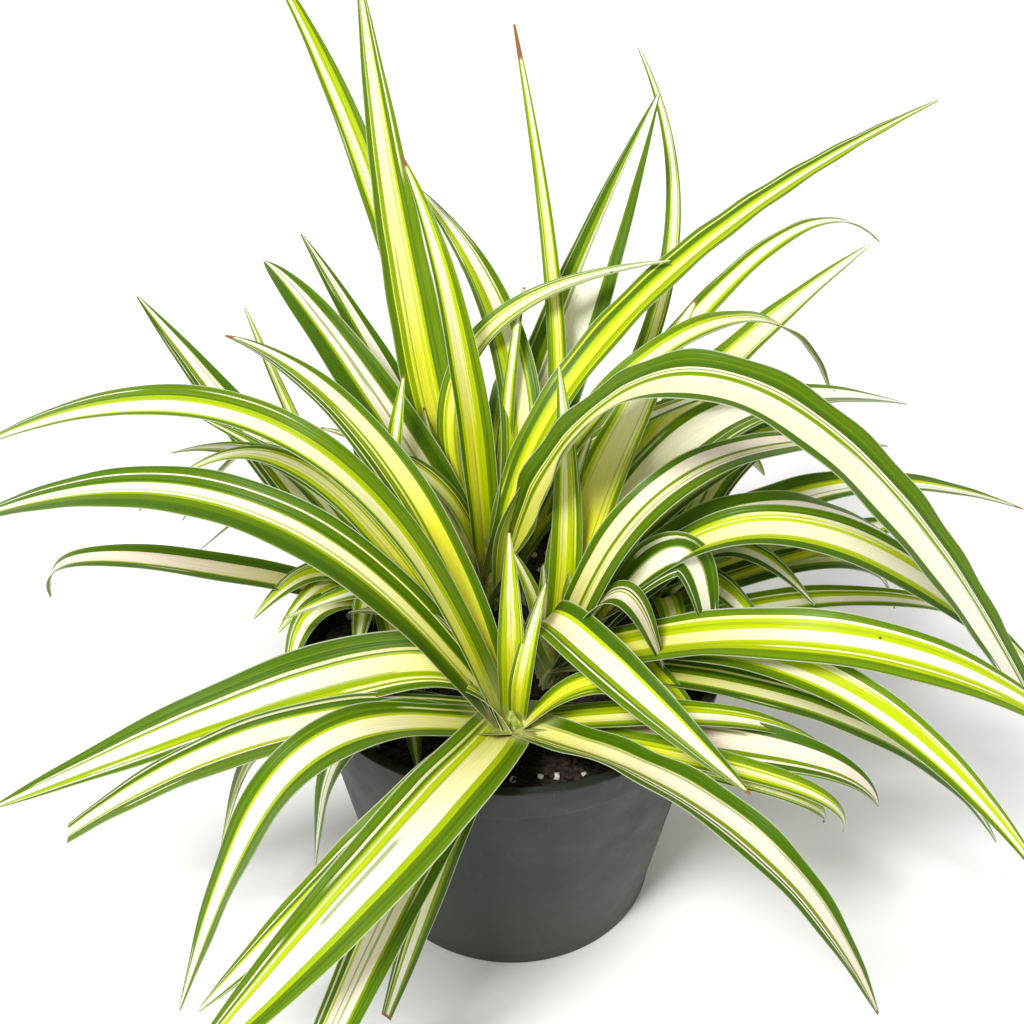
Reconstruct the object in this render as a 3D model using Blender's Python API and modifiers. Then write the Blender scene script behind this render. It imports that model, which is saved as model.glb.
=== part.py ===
"""Potted spider plant.

Five short shoots stand in the soil of a round plastic nursery pot. Each one bears a fan
of long, channelled leaves that rise, arch over the rim and taper to a point.
Metres, +Z up, with the origin at the centre of the pot's base and the front towards -Y.
"""
import itertools
import math
import random

import bmesh
import bpy
from mathutils import Vector
from mathutils.bvhtree import BVHTree

MM = 0.001

# Pot
POT_HEIGHT = 115 * MM
BASE_RADIUS = 52 * MM
WALL_TOP_RADIUS = 73 * MM
WALL = 1.8 * MM
FLOOR = 2.5 * MM
BAND_HEIGHT = 14 * MM
BAND_STEP = 2 * MM
LIP_ROUND = 0.6 * MM
DRAIN_HOLES = 6
DRAIN_RADIUS = 4 * MM
DRAIN_CIRCLE = 36 * MM
POT_SIDES = 40

# Soil
SOIL_TOP = POT_HEIGHT - 12 * MM
SOIL_BUMP = 1.2 * MM
SOIL_RINGS = 5
GAP = 0.3 * MM

# Shoots: the neck of leaf bases that stands in its hole in the soil
NECK_DEPTH = 12 * MM
NECK_RISE = 13 * MM
NECK_TOP_SHARE = 0.55
NECK_SIDES = 14
ROOT_OUT = 5 * MM
ROOT_UP = 6 * MM

# Leaves
BLADE = 0.7 * MM
TIP_WIDTH = 0.9 * MM
BASE_SHARE = 0.55
WIDEST = 0.36
CHANNEL = 0.13
SEGMENT = 34 * MM
MIN_SEGMENTS = 4
MAX_SEGMENTS = 12
ROLL_STOPS = (0.15, 0.3, 0.6)
CLEARANCE = 0.4 * MM
TEST_STEPS = 18
CROWDED = 0.35

# Each shoot: its place on the soil and its neck's radius in millimetres, and its leaves.
# A leaf is a direction in degrees (0 is +X, 90 is +Y), the reach and height of its middle,
# the reach and height of its tip, its greatest width, its bend (0.67 even, 0.88 sharp),
# the roll of its face in degrees, the sideways bow of its middle, and the share of its point
# that is left, where less than 1 is a blunt, broken end. A leaf that twists has two rolls,
# for a third of the way up and for its outer half, or three with one near its base first.
# Reaches and heights are millimetres from the shoot's place on the soil.
SHOOTS = {
    "shoot_front": ((0, -38), 9, (
        (135, 53, 91, 140, 96, 16, 0.67, 0, 5, 1),
        (150, 73, 114, 233, 34, 13, 0.75, (0, -40), 18, 1),
        (159, 85, 85, 213, 30, 20, 0.75, -25, 14, 1),
        (183, 44, 26, 178, -25, 23, 0.80, (-30, -20), -9, 1),
        (226, 84, 27, 149, -42, 24, 0.55, -25, 27, 1),
        (238, 67, 9, 150, -75, 18, 0.80, 0, 8, 1),
        (239, 46, 9, 80, -60, 12, 0.90, 0, 8, 0.9),
        (216, 63, 15, 125, -50, 18, 0.80, 0, 22, 1),
        (213, 81, 41, 129, -54, 19, 0.90, 0, 8, 1),
        (189, 75, 14, 150, -22, 20, 0.67, 0, 0, 0.86),
        (187, 73, 9, 104, -53, 18, 0.85, 0, -10, 1),
        (165, 32, 49, 79, 35, 18, 0.80, 0, -9, 1),
        (148, 32, 33, 66, 25, 10, 0.67, 0, 0, 1),
        (187, 49, 18, 84, -8, 13, 0.80, 0, 0, 1),
        (207, 54, 25, 73, -26, 16, 0.85, 0, -2, 1),
        (153, 76, 87, 146, 45, 10, 0.80, 0, 0, 1),
        (147, 66, 73, 141, 62, 15, 0.67, 0, -1, 1),
        (-11, 91, 14, 123, -8, 21, 0.75, 20, -3, 1),
        (-37, 95, 30, 143, -34, 18, 0.75, (-20, 0), -13, 1),
        (-13, 39, 49, 68, -1, 10, 0.75, 20, -16, 1),
        (-13, 86, 11, 106, -15, 9, 0.80, 0, -13, 1),
        (-14, 90, 14, 113, -16, 11, 0.80, 0, -10, 1),
        (96, 5, 45, 9, 82, 9, 0.67, 0, 0, 1),
        (60, 9, 30, 22, 52, 8, 0.67, 0, 0, 1),
        (-3, 67, 27, 106, 1, 13, 0.75, 0, -11, 1),
    )),
    "shoot_middle": ((14, -8), 8, (
        (38, 68, 72, 173, 40, 22, 0.75, 0, 2, 1),
        (32, 37, 83, 146, 42, 15, 0.75, 0, -18, 1),
        (47, 55, 66, 174, 98, 17, 0.67, 0, 5, 1),
        (24, 94, 48, 197, 10, 17, 0.75, 0, 1, 1),
        (1, 75, 70, 181, -14, 17, 0.75, (0, 40), -6, 1),
        (20, 57, 65, 130, 26, 20, 0.75, 0, -14, 1),
        (-8, 97, 48, 179, -5, 20, 0.70, (0, 30), -22, 1),
        (-26, 93, 37, 178, -20, 16, 0.70, 25, 2, 1),
        (-14, 103, 14, 159, -43, 16, 0.70, 10, -11, 1),
        (-54, 14, 39, 100, 28, 18, 0.95, (0, 25), -9, 1),
        (70, 8, 55, 40, 80, 9, 0.67, 0, 0, 1),
        (116, 6, 20, 8, 45, 7, 0.67, 0, 0, 1),
        (201, 8, 16, 13, 36, 5, 0.67, 0, 0, 1),
        (11, 105, 18, 173, -15, 13, 0.67, 0, 0, 1),
        (3, 93, 16, 137, -5, 11, 0.80, 0, 0, 1),
        (88, 12, 58, 38, 104, 11, 0.67, 0, 0, 1),
        (56, 26, 62, 88, 108, 18, 0.67, 0, 0, 1),
        (31, 36, 43, 93, 67, 12, 0.67, 0, 5, 1),
        (140, 9, 30, 20, 48, 8, 0.67, 0, 0, 1),
        (-40, 34, 26, 68, 8, 13, 0.75, 0, 0, 1),
        (-15, 40, 62, 55, 24, 18, 0.92, (0, 50), 3, 1),
        (-33, 26, 52, 43, 26, 15, 0.85, 0, -3, 1),
    )),
    "shoot_back": ((-7, 32), 9, (
        (113, 40, 69, 119, 194, 19, 0.67, 0, 8, 1),
        (115, 105, 115, 212, 165, 14, 0.67, 0, -1, 1),
        (118, 22, 101, 65, 150, 13, 0.67, 0, 1, 1),
        (104, 27, 79, 121, 105, 15, 0.67, 0, -15, 1),
        (85, 38, 55, 89, 185, 7, 0.67, 0, -20, 1),
        (58, 38, 48, 111, 155, 26, 0.67, 15, 6, 1),
        (69, 84, 85, 152, 150, 8, 0.67, 0, -33, 1),
        (44, 57, 97, 246, 114, 13, 0.67, 0, -5, 1),
        (40, 113, 101, 198, 75, 12, 0.75, 0, -8, 1),
        (34, 53, 113, 160, 28, 12, 0.50, 0, -34, 1),
        (-14, 87, 133, 215, -46, 22, 0.67, (35, -6, 29), -37, 1),
        (136, 53, 85, 117, 94, 21, 0.67, 0, 16, 1),
        (133, 47, 62, 101, 110, 15, 0.67, 0, 1, 1),
        (78, 28, 70, 55, 100, 6, 0.67, 0, 0, 1),
        (137, 21, 35, 33, 70, 9, 0.67, 0, 0, 1),
        (44, 15, 83, 87, 106, 11, 0.67, 0, 29, 1),
        (8, 32, 62, 92, 88, 13, 0.67, 0, 0, 1),
        (165, 20, 48, 62, 66, 11, 0.67, 0, 0, 1),
        (-40, 8, 40, 22, 74, 9, 0.67, 0, 0, 1),
    )),
    "shoot_left": ((-46, 24), 7, (
        (176, 93, 29, 123, 1, 15, 0.80, 0, 9, 1),
        (135, 64, 38, 135, 75, 19, 0.67, 0, 0, 1),
        (128, 44, 48, 81, 90, 6, 0.67, 0, 0, 1),
        (233, 36, 26, 51, 6, 13, 0.80, 0, 0, 1),
        (280, 52, 19, 88, 9, 12, 0.80, 0, 0, 1),
        (70, 10, 46, 26, 88, 10, 0.67, 0, 0, 1),
        (78, 14, 38, 30, 66, 10, 0.67, 0, 0, 1),
        (150, 26, 44, 74, 60, 12, 0.67, 0, 0, 1),
        (202, 24, 27, 48, 14, 11, 0.75, 0, 0, 1),
        (218, 22, 26, 44, 16, 11, 0.75, 0, 0, 1),
        (258, 20, 24, 36, 12, 10, 0.75, 0, 0, 1),
    )),
    "shoot_right": ((50, 22), 6, (
        (-20, 27, 40, 58, 24, 12, 0.75, 0, 0, 1),
        (16, 40, 22, 104, 24, 21, 0.67, 0, -6, 1),
        (12, 33, 29, 55, 18, 10, 0.67, 0, 0, 1),
        (4, 64, 22, 94, -5, 13, 0.80, 0, 0, 1),
        (9, 75, 22, 101, -5, 6, 0.80, 0, 0, 1),
        (40, 14, 36, 34, 58, 9, 0.67, 0, 0, 1),
        (120, 12, 36, 34, 60, 9, 0.67, 0, 0, 1),
        (-45, 24, 32, 56, 20, 13, 0.75, 0, 0, 1),
        (-80, 22, 26, 42, 10, 11, 0.75, 0, 0, 1),
    )),
}

# Leaves on the far side, spread evenly with a little scatter: how many, the first and last
# direction, and the usual reach and height of the tip.
FAR_SIDE = {
    "shoot_back": (6, 62, 158, 135, -15),
    "shoot_left": (3, 92, 146, 105, -10),
    "shoot_right": (3, 22, 112, 105, -20),
}
FAR_SEED = 11
FAR_MIDDLE_SHARE = 0.45
FAR_MIDDLE_HEIGHT = (34, 54)
FAR_WIDTH = (13, 18)

# Bends tried, smallest first, until a leaf clears the pot and the other shoots: millimetres
# back and down for the middle and for the tip, which hardly show from the front, then swing
# in degrees, lift of the middle and bow in millimetres. Each has its own weight.
BACK_AND_DOWN = Vector((0.0, math.cos(math.radians(39)), -math.sin(math.radians(39))))
MIDDLES_BACK = (0, 4, -4, 8, -8, 13, -13, 19, -19)
TIPS_BACK = (0, 6, -6, 14, -14, 24, -24)
SWINGS = (0, 2, -2, 5, -5, 9, -9, 16, -16)
LIFTS = (0, 3, -3, 7, 12, 18, 26)
BOWS = (0, 4, -4, 9, -9)
BEND_WEIGHTS = (0.3, 0.25, 1.6, 1.3, 1.2)
TOUCH_WEIGHT = 4.0

COLOURS = {
    "pot": (0.045, 0.060, 0.048),
    "soil": (0.018, 0.013, 0.010),
    "leaf": (0.36, 0.50, 0.09),
}


def clear_scene():
    """Removes every object and the meshes they leave behind."""
    for obj in list(bpy.data.objects):
        bpy.data.objects.remove(obj, do_unlink=True)
    for mesh in list(bpy.data.meshes):
        bpy.data.meshes.remove(mesh)


def new_collection(name):
    collection = bpy.data.collections.new(name)
    bpy.context.scene.collection.children.link(collection)
    return collection


def material(name, colour, roughness):
    """One plain finish on a Principled BSDF."""
    mat = bpy.data.materials.new(name)
    mat.use_nodes = True
    shader = mat.node_tree.nodes["Principled BSDF"]
    shader.inputs["Base Color"].default_value = (*colour, 1.0)
    shader.inputs["Roughness"].default_value = roughness
    shader.inputs["Metallic"].default_value = 0.0
    return mat


def mesh_object(name, verts, edges, faces, collection):
    mesh = bpy.data.meshes.new(name)
    mesh.from_pydata(verts, edges, faces)
    obj = bpy.data.objects.new(name, mesh)
    collection.objects.link(obj)
    return obj


def turned(name, profile, sides, collection):
    """A body turned round Z from a profile of radius and height pairs."""
    verts = [(radius, 0.0, height) for radius, height in profile]
    edges = [(i, i + 1) for i in range(len(profile) - 1)]
    obj = mesh_object(name, verts, edges, [], collection)
    screw = obj.modifiers.new("Turn", "SCREW")
    screw.axis = "Z"
    screw.steps = sides
    screw.render_steps = sides
    screw.use_merge_vertices = True
    screw.merge_threshold = 0.00005
    screw.use_smooth_shade = True
    return obj


def apply_modifiers(obj):
    """Puts the object's evaluated mesh in place of its own."""
    graph = bpy.context.evaluated_depsgraph_get()
    mesh = bpy.data.meshes.new_from_object(obj.evaluated_get(graph))
    mesh.name = obj.name
    obj.modifiers.clear()
    obj.data = mesh


def cut(obj, cutter):
    modifier = obj.modifiers.new("Holes", "BOOLEAN")
    modifier.operation = "DIFFERENCE"
    modifier.solver = "EXACT"
    modifier.object = cutter


def round_holes(name, places, radius, low, high, sides, collection):
    """Upright round cutters, one at each place, in one hidden object."""
    bm = bmesh.new()
    for x, y in places:
        made = bmesh.ops.create_cone(
            bm, cap_ends=True, segments=sides, radius1=radius, radius2=radius, depth=high - low
        )
        bmesh.ops.translate(bm, verts=made["verts"], vec=(x, y, (low + high) / 2))
    mesh = bpy.data.meshes.new(name)
    bm.to_mesh(mesh)
    bm.free()
    obj = bpy.data.objects.new(name, mesh)
    obj.hide_render = True
    obj.display_type = "WIRE"
    collection.objects.link(obj)
    return obj


def wall_radius(height):
    """The pot's tapered outer wall, without the band."""
    return BASE_RADIUS + (WALL_TOP_RADIUS - BASE_RADIUS) * height / POT_HEIGHT


def pot_outer(height):
    """The pot's outer face, with the band under its lip."""
    step = BAND_STEP if height > POT_HEIGHT - BAND_HEIGHT else 0.0
    return wall_radius(height) + step


def make_pot(collection, cutters):
    """A thin moulded shell with a band round the lip and drain holes through its floor."""
    lip = WALL_TOP_RADIUS + BAND_STEP
    band_low = POT_HEIGHT - BAND_HEIGHT
    profile = [
        (0.0, FLOOR),
        (wall_radius(FLOOR) - WALL, FLOOR),
        (WALL_TOP_RADIUS - WALL, POT_HEIGHT - LIP_ROUND),
        (WALL_TOP_RADIUS - WALL + LIP_ROUND, POT_HEIGHT),
        (lip - LIP_ROUND, POT_HEIGHT),
        (lip, POT_HEIGHT - LIP_ROUND),
        (wall_radius(band_low) + BAND_STEP, band_low),
        (wall_radius(band_low), band_low - BAND_STEP / 2),
        (BASE_RADIUS + LIP_ROUND, 2 * LIP_ROUND),
        (BASE_RADIUS - LIP_ROUND, 0.0),
        (0.0, 0.0),
    ]
    pot = turned("pot", profile, POT_SIDES, collection)
    turns = [2 * math.pi * i / DRAIN_HOLES for i in range(DRAIN_HOLES)]
    places = [(DRAIN_CIRCLE * math.cos(a), DRAIN_CIRCLE * math.sin(a)) for a in turns]
    cut(pot, round_holes("drain_cutter", places, DRAIN_RADIUS, -FLOOR, 2 * FLOOR, 16, cutters))
    apply_modifiers(pot)
    pot.data.shade_smooth()
    pot.data.set_sharp_from_angle(angle=math.radians(30))
    return pot


def soil_height(x, y):
    """The lumpy top of the soil: three crossing ripples, no higher than the bump size."""
    wave = math.sin(x / (9 * MM) + 0.7) * math.cos(y / (11 * MM))
    wave += math.sin((x + y) / (6 * MM)) * 0.6
    wave += math.cos((x - 2 * y) / (8 * MM) + 1.9) * 0.4
    return SOIL_TOP + SOIL_BUMP * (wave / 2 - 0.2)


def make_soil(collection, cutters):
    """Soil that fills the pot, with a plain hole for each shoot's neck."""
    low = FLOOR + GAP
    edge = SOIL_TOP - SOIL_BUMP
    rim = wall_radius(edge) - WALL - GAP
    profile = [(rim * i / SOIL_RINGS, SOIL_TOP) for i in range(SOIL_RINGS + 1)]
    profile.append((wall_radius(low) - WALL - GAP, low))
    profile.append((0.0, low))
    soil = turned("soil", profile, POT_SIDES, collection)
    apply_modifiers(soil)
    for vert in soil.data.vertices:
        if vert.co.z > SOIL_TOP - MM:
            inner = math.hypot(vert.co.x, vert.co.y) < rim - MM
            vert.co.z = soil_height(vert.co.x, vert.co.y) if inner else edge
    for name, (place, radius, _) in SHOOTS.items():
        cutter = round_holes(
            name + "_hole", [(place[0] * MM, place[1] * MM)], radius * MM + GAP,
            SOIL_TOP - NECK_DEPTH - GAP, POT_HEIGHT, NECK_SIDES, cutters,
        )
        cut(soil, cutter)
    apply_modifiers(soil)
    return soil


def far_side_rows(name):
    """Rows for the leaves behind, which lean out evenly and droop past the rim."""
    if name not in FAR_SIDE:
        return []
    count, first, last, reach, tip_height = FAR_SIDE[name]
    draw = random.Random(FAR_SEED + count + first)
    rows = []
    for i in range(count):
        direction = first + (last - first) * (i + 0.5) / count + draw.uniform(-5, 5)
        length = reach * draw.uniform(0.85, 1.2)
        middle = draw.uniform(*FAR_MIDDLE_HEIGHT)
        drop = tip_height + draw.uniform(-18, 18)
        width = draw.uniform(*FAR_WIDTH)
        bow = draw.uniform(-8, 8)
        rows.append((direction, FAR_MIDDLE_SHARE * length, middle, length, drop, width, 0.78, 0, bow, 1))
    return rows


def leaf_curve(place, row, bend):
    """The root, two handles and tip of a leaf's middle line, and its heading."""
    direction, mid_reach, mid_height, tip_reach, tip_height, _, sharp, _, side, _ = row
    middle_back, tip_back, swing, lift, bow = bend
    heading = math.radians(direction + swing)
    out = Vector((math.cos(heading), math.sin(heading), 0.0))
    across = Vector((-math.sin(heading), math.cos(heading), 0.0))
    foot = Vector((place[0] * MM, place[1] * MM, SOIL_TOP))
    up = Vector((0.0, 0.0, 1.0))
    root = foot + out * ROOT_OUT + up * ROOT_UP
    middle = foot + out * mid_reach * MM + across * (side + bow) * MM + up * (mid_height + lift) * MM
    tip = foot + out * tip_reach * MM + up * (tip_height + lift / 2) * MM
    middle += BACK_AND_DOWN * middle_back * MM
    tip += BACK_AND_DOWN * tip_back * MM
    corner = (8 * middle - (4 - 3 * sharp) * (root + tip)) / (6 * sharp)
    return root, root + sharp * (corner - root), tip + sharp * (corner - tip), tip, heading


def curve_points(curve, segments):
    """Even steps of the cubic curve's own measure, from root to tip."""
    a, b, c, d, _ = curve
    points = []
    for i in range(segments + 1):
        t = i / segments
        s = 1 - t
        points.append(s ** 3 * a + 3 * t * s ** 2 * b + 3 * t ** 2 * s * c + t ** 3 * d)
    return points


def leaf_width(v, width):
    """Narrow at the base, widest a third of the way up, with a long tapering point."""
    if v < WIDEST:
        grow = v / WIDEST
        return width * (BASE_SHARE + (1 - BASE_SHARE) * grow * (2 - grow))
    fade = (v - WIDEST) / (1 - WIDEST)
    return TIP_WIDTH + (width - TIP_WIDTH) * (1 - fade ** 1.7) ** 0.95


def roll_at(v, roll):
    """How far the face has rolled at a share of the leaf's length, in radians."""
    if not isinstance(roll, tuple):
        roll = (roll / 2, roll)
    if len(roll) == 2:
        roll = (roll[0] / 2, *roll)
    stops = [(0.0, 0.0), *zip(ROLL_STOPS, roll)]
    for (low, before), (high, after) in zip(stops, stops[1:]):
        if v < high:
            return math.radians(before + (after - before) * (v - low) / (high - low))
    return math.radians(roll[2])


def blade(curve, row, segments, spare):
    """A closed blade: an open channel in section, three points above and three below."""
    points = curve_points(curve, segments)
    heading = curve[4]
    width = row[5] * MM
    flat = Vector((-math.sin(heading), math.cos(heading), 0.0))
    lengths = [0.0]
    for here, there in zip(points, points[1:]):
        lengths.append(lengths[-1] + (there - here).length)
    verts = []
    for i, point in enumerate(points):
        v = lengths[i] / lengths[-1]
        along = (points[min(i + 1, segments)] - points[max(i - 1, 0)]).normalized()
        wide = (flat - along * flat.dot(along)).normalized()
        face = along.cross(wide)
        turn = roll_at(v, row[7])
        wide, face = (
            wide * math.cos(turn) + face * math.sin(turn),
            face * math.cos(turn) - wide * math.sin(turn),
        )
        full = leaf_width(v * row[9], width)
        half = full / 2 + spare
        rise = CHANNEL * full * (1.6 - v)
        for level in (BLADE / 2 + spare, -BLADE / 2 - spare):
            verts.append(point + wide * half + face * (rise + level))
            verts.append(point + face * level)
            verts.append(point - wide * half + face * (rise + level))
    faces = [(0, 4, 1), (0, 3, 4), (1, 5, 2), (1, 4, 5)]
    ring = (0, 1, 2, 5, 4, 3)
    for i in range(segments):
        a, b = 6 * i, 6 * (i + 1)
        for j, here in enumerate(ring):
            there = ring[(j + 1) % 6]
            if j in (0, 3):
                faces.append((a + here, b + there, b + here))
                faces.append((a + here, a + there, b + there))
            else:
                faces.append((a + here, a + there, b + here))
                faces.append((b + here, a + there, b + there))
    end = 6 * segments
    faces += [(end + p, end + q, end + r) for p, q, r in ((0, 1, 4), (0, 4, 3), (1, 2, 5), (1, 5, 4))]
    return verts, faces


def segment_count(curve):
    """More steps for a longer leaf."""
    points = curve_points(curve, MAX_SEGMENTS)
    length = sum((there - here).length for here, there in zip(points, points[1:]))
    return max(MIN_SEGMENTS, min(MAX_SEGMENTS, round(length / SEGMENT)))


def point_is_clear(point):
    """True for a point over the pot, in it above the soil, or outside it above the ground."""
    gap = 2 * GAP
    if point.z > POT_HEIGHT + gap:
        return True
    radius = math.hypot(point.x, point.y)
    if radius < wall_radius(point.z) - WALL - gap:
        return point.z > SOIL_TOP + SOIL_BUMP + gap
    return radius > pot_outer(point.z) + gap and point.z > 3 * MM


def clear_of_pot(verts, segments):
    """True if the whole blade is clear, tested along and across every millimetre or two."""
    for i in range(segments):
        for step in range(TEST_STEPS):
            share = step / (TEST_STEPS - 1)
            ring = [verts[6 * i + j].lerp(verts[6 * i + 6 + j], share) for j in (0, 1, 2, 5, 4, 3)]
            for here, there in zip(ring, ring[1:]):
                if not all(point_is_clear(here.lerp(there, across)) for across in (0.0, 0.35, 0.7, 1.0)):
                    return False
    return True


def neck_tree(place, radius):
    """A rough shell round a shoot's neck, for the clearance test."""
    ring = [2 * math.pi * i / NECK_SIDES for i in range(NECK_SIDES)]
    size = radius * MM + MM
    verts = []
    for height in (SOIL_TOP - MM, SOIL_TOP + NECK_RISE + MM):
        verts += [
            Vector((place[0] * MM + size * math.cos(a), place[1] * MM + size * math.sin(a), height))
            for a in ring
        ]
    faces = [(i, (i + 1) % NECK_SIDES, NECK_SIDES + i) for i in range(NECK_SIDES)]
    faces += [
        ((i + 1) % NECK_SIDES, NECK_SIDES + (i + 1) % NECK_SIDES, NECK_SIDES + i)
        for i in range(NECK_SIDES)
    ]
    faces.append(tuple(range(NECK_SIDES, 2 * NECK_SIDES)))
    return BVHTree.FromPolygons(verts, faces)


def outer_tree(verts, faces, segments):
    """The part of a blade beyond the crowded start, where leaves of one shoot also part."""
    first = 6 * math.ceil(segments * CROWDED)
    return BVHTree.FromPolygons(verts, [face for face in faces if min(face) >= first])


def bend_cost(bend):
    return sum(weight * abs(amount) for weight, amount in zip(BEND_WEIGHTS, bend))


def settle_leaves():
    """Places the broad leaves first, and bends each later one clear of the other shoots.

    A leaf also parts from those of its own shoot where a modest bend is enough.
    """
    bends = list(itertools.product(MIDDLES_BACK, TIPS_BACK, SWINGS, LIFTS, BOWS))
    bends.sort(key=bend_cost)
    waiting = []
    for name, (place, _, rows) in SHOOTS.items():
        waiting += [(name, place, row) for row in [*rows, *far_side_rows(name)]]
    waiting.sort(key=lambda item: -item[2][5])
    trees = {name: [neck_tree(place, radius)] for name, (place, radius, _) in SHOOTS.items()}
    outer = {name: [] for name in SHOOTS}
    settled = {name: [] for name in SHOOTS}
    for name, place, row in waiting:
        others = [tree for other in SHOOTS if other != name for tree in trees[other]]
        chosen = None
        for bend in bends:
            cost = bend_cost(bend)
            if chosen and cost > chosen[0]:
                break
            curve = leaf_curve(place, row, bend)
            segments = segment_count(curve)
            verts, faces = blade(curve, row, segments, CLEARANCE)
            if not clear_of_pot(verts, segments):
                continue
            tree = BVHTree.FromPolygons(verts, faces)
            if any(tree.overlap(other) for other in others):
                continue
            end = outer_tree(verts, faces, segments)
            cost += TOUCH_WEIGHT * sum(1 for other in outer[name] if end.overlap(other))
            if not chosen or cost < chosen[0]:
                chosen = (cost, tree, end, (curve, row, segments))
        if not chosen:
            raise RuntimeError("no clear place for a leaf of " + name + " at " + str(row[0]))
        trees[name].append(chosen[1])
        outer[name].append(chosen[2])
        settled[name].append(chosen[3])
    return settled


def drop_voids(obj):
    """Keeps the outer skin and fills the small pockets closed in between leaf roots."""
    bm = bmesh.new()
    bm.from_mesh(obj.data)
    skins = []
    seen = set()
    for start in bm.faces:
        if start in seen:
            continue
        skin = [start]
        seen.add(start)
        for face in skin:
            for edge in face.edges:
                for other in edge.link_faces:
                    if other not in seen:
                        seen.add(other)
                        skin.append(other)
        skins.append(skin)
    skins.sort(key=len)
    bmesh.ops.delete(bm, geom=[face for skin in skins[:-1] for face in skin], context="FACES")
    bm.to_mesh(obj.data)
    bm.free()


def make_shoot(name, leaves, collection):
    """One shoot: a neck with its leaves' roots sunk in it, all joined into one body."""
    place, radius, _ = SHOOTS[name]
    radius = radius * MM
    profile = [
        (0.0, SOIL_TOP + NECK_RISE),
        (radius * NECK_TOP_SHARE, SOIL_TOP + NECK_RISE - MM),
        (radius, SOIL_TOP + NECK_RISE * 0.35),
        (radius, SOIL_TOP - NECK_DEPTH),
        (0.0, SOIL_TOP - NECK_DEPTH),
    ]
    shoot = turned(name, profile, NECK_SIDES, collection)
    apply_modifiers(shoot)
    for vert in shoot.data.vertices:
        vert.co.x += place[0] * MM
        vert.co.y += place[1] * MM
    fan = new_collection(name + "_fan")
    for i, (curve, row, segments) in enumerate(leaves):
        verts, faces = blade(curve, row, segments, 0.0)
        mesh_object(name + "_leaf_" + str(i), verts, [], faces, fan)
    union = shoot.modifiers.new("Fan", "BOOLEAN")
    union.operation = "UNION"
    union.solver = "MANIFOLD"
    union.operand_type = "COLLECTION"
    union.collection = fan
    apply_modifiers(shoot)
    for leaf in list(fan.objects):
        bpy.data.objects.remove(leaf, do_unlink=True)
    bpy.data.collections.remove(fan)
    drop_voids(shoot)
    return shoot


def main():
    clear_scene()
    plant = new_collection("potted_spider_plant")
    cutters = new_collection("cutters")
    pot = make_pot(plant, cutters)
    pot.data.materials.append(material("pot", COLOURS["pot"], 0.45))
    soil = make_soil(plant, cutters)
    soil.data.materials.append(material("soil", COLOURS["soil"], 0.95))
    leaf = material("leaf", COLOURS["leaf"], 0.40)
    for name, leaves in settle_leaves().items():
        shoot = make_shoot(name, leaves, plant)
        shoot.data.materials.clear()
        shoot.data.materials.append(leaf)


main()
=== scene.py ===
import itertools
import math
import random
from functools import partial

import bmesh
import bpy
from mathutils import Matrix, Vector, noise
from mathutils.bvhtree import BVHTree


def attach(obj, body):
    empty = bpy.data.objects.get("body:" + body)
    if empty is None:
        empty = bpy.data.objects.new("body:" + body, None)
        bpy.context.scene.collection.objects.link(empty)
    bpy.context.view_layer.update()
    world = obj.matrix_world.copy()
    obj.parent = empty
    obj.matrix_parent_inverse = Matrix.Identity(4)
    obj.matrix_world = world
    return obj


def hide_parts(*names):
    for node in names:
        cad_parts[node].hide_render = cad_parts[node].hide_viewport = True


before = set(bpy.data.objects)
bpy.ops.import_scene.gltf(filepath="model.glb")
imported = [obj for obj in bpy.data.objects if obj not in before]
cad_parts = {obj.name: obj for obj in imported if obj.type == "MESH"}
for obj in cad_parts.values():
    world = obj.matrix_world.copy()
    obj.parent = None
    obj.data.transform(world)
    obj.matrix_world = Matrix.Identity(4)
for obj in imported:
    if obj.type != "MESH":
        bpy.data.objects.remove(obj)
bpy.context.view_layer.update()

MM = 0.001

# Nursery pot: one thin shell of black-green polypropylene, moulded in one shot. It tapers so
# that pots stack, a band stiffens the lip, and drain holes pierce the floor.
POT_HEIGHT = 115 * MM
BASE_RADIUS = 52 * MM
WALL_TOP_RADIUS = 73 * MM
WALL = 1.8 * MM
FLOOR = 2.5 * MM
BAND_HEIGHT = 14 * MM
BAND_STEP = 2 * MM
DRAIN_HOLES = 6
DRAIN_RADIUS = 4 * MM
DRAIN_CIRCLE = 36 * MM
POT_CORNER = 0.7 * MM
POT_SIDES = 144
FOOT_RISE = 6 * MM
FOOT_FLARE = 0.4 * MM
GROOVE_FROM = 4 * MM
GROOVE_TO = 10 * MM
GROOVE_DEPTH = 1 * MM
POT_GREEN = "#1b231d"
POT_WORN = "#3d463d"
POT_DUST = "#6a675c"


def wall_radius(height):
    return BASE_RADIUS + (WALL_TOP_RADIUS - BASE_RADIUS) * height / POT_HEIGHT


def rounded(profile, radius, steps=4):
    """A profile of radius and height pairs with its corners rounded."""
    made = [profile[0]]
    for before, corner, after in zip(profile, profile[1:], profile[2:]):
        here = Vector(corner)
        back, ahead = Vector(before) - here, Vector(after) - here
        reach = min(radius, back.length / 2.2, ahead.length / 2.2)
        start, end = here + back.normalized() * reach, here + ahead.normalized() * reach
        for i in range(steps + 1):
            t = i / steps
            made.append(tuple((1 - t) ** 2 * start + 2 * t * (1 - t) * here + t * t * end))
    made.append(profile[-1])
    return made


def placed(name, data):
    """An object in the scene that holds a mesh, a lamp or a camera."""
    made = bpy.data.objects.new(name, data)
    bpy.context.scene.collection.objects.link(made)
    return made


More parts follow.
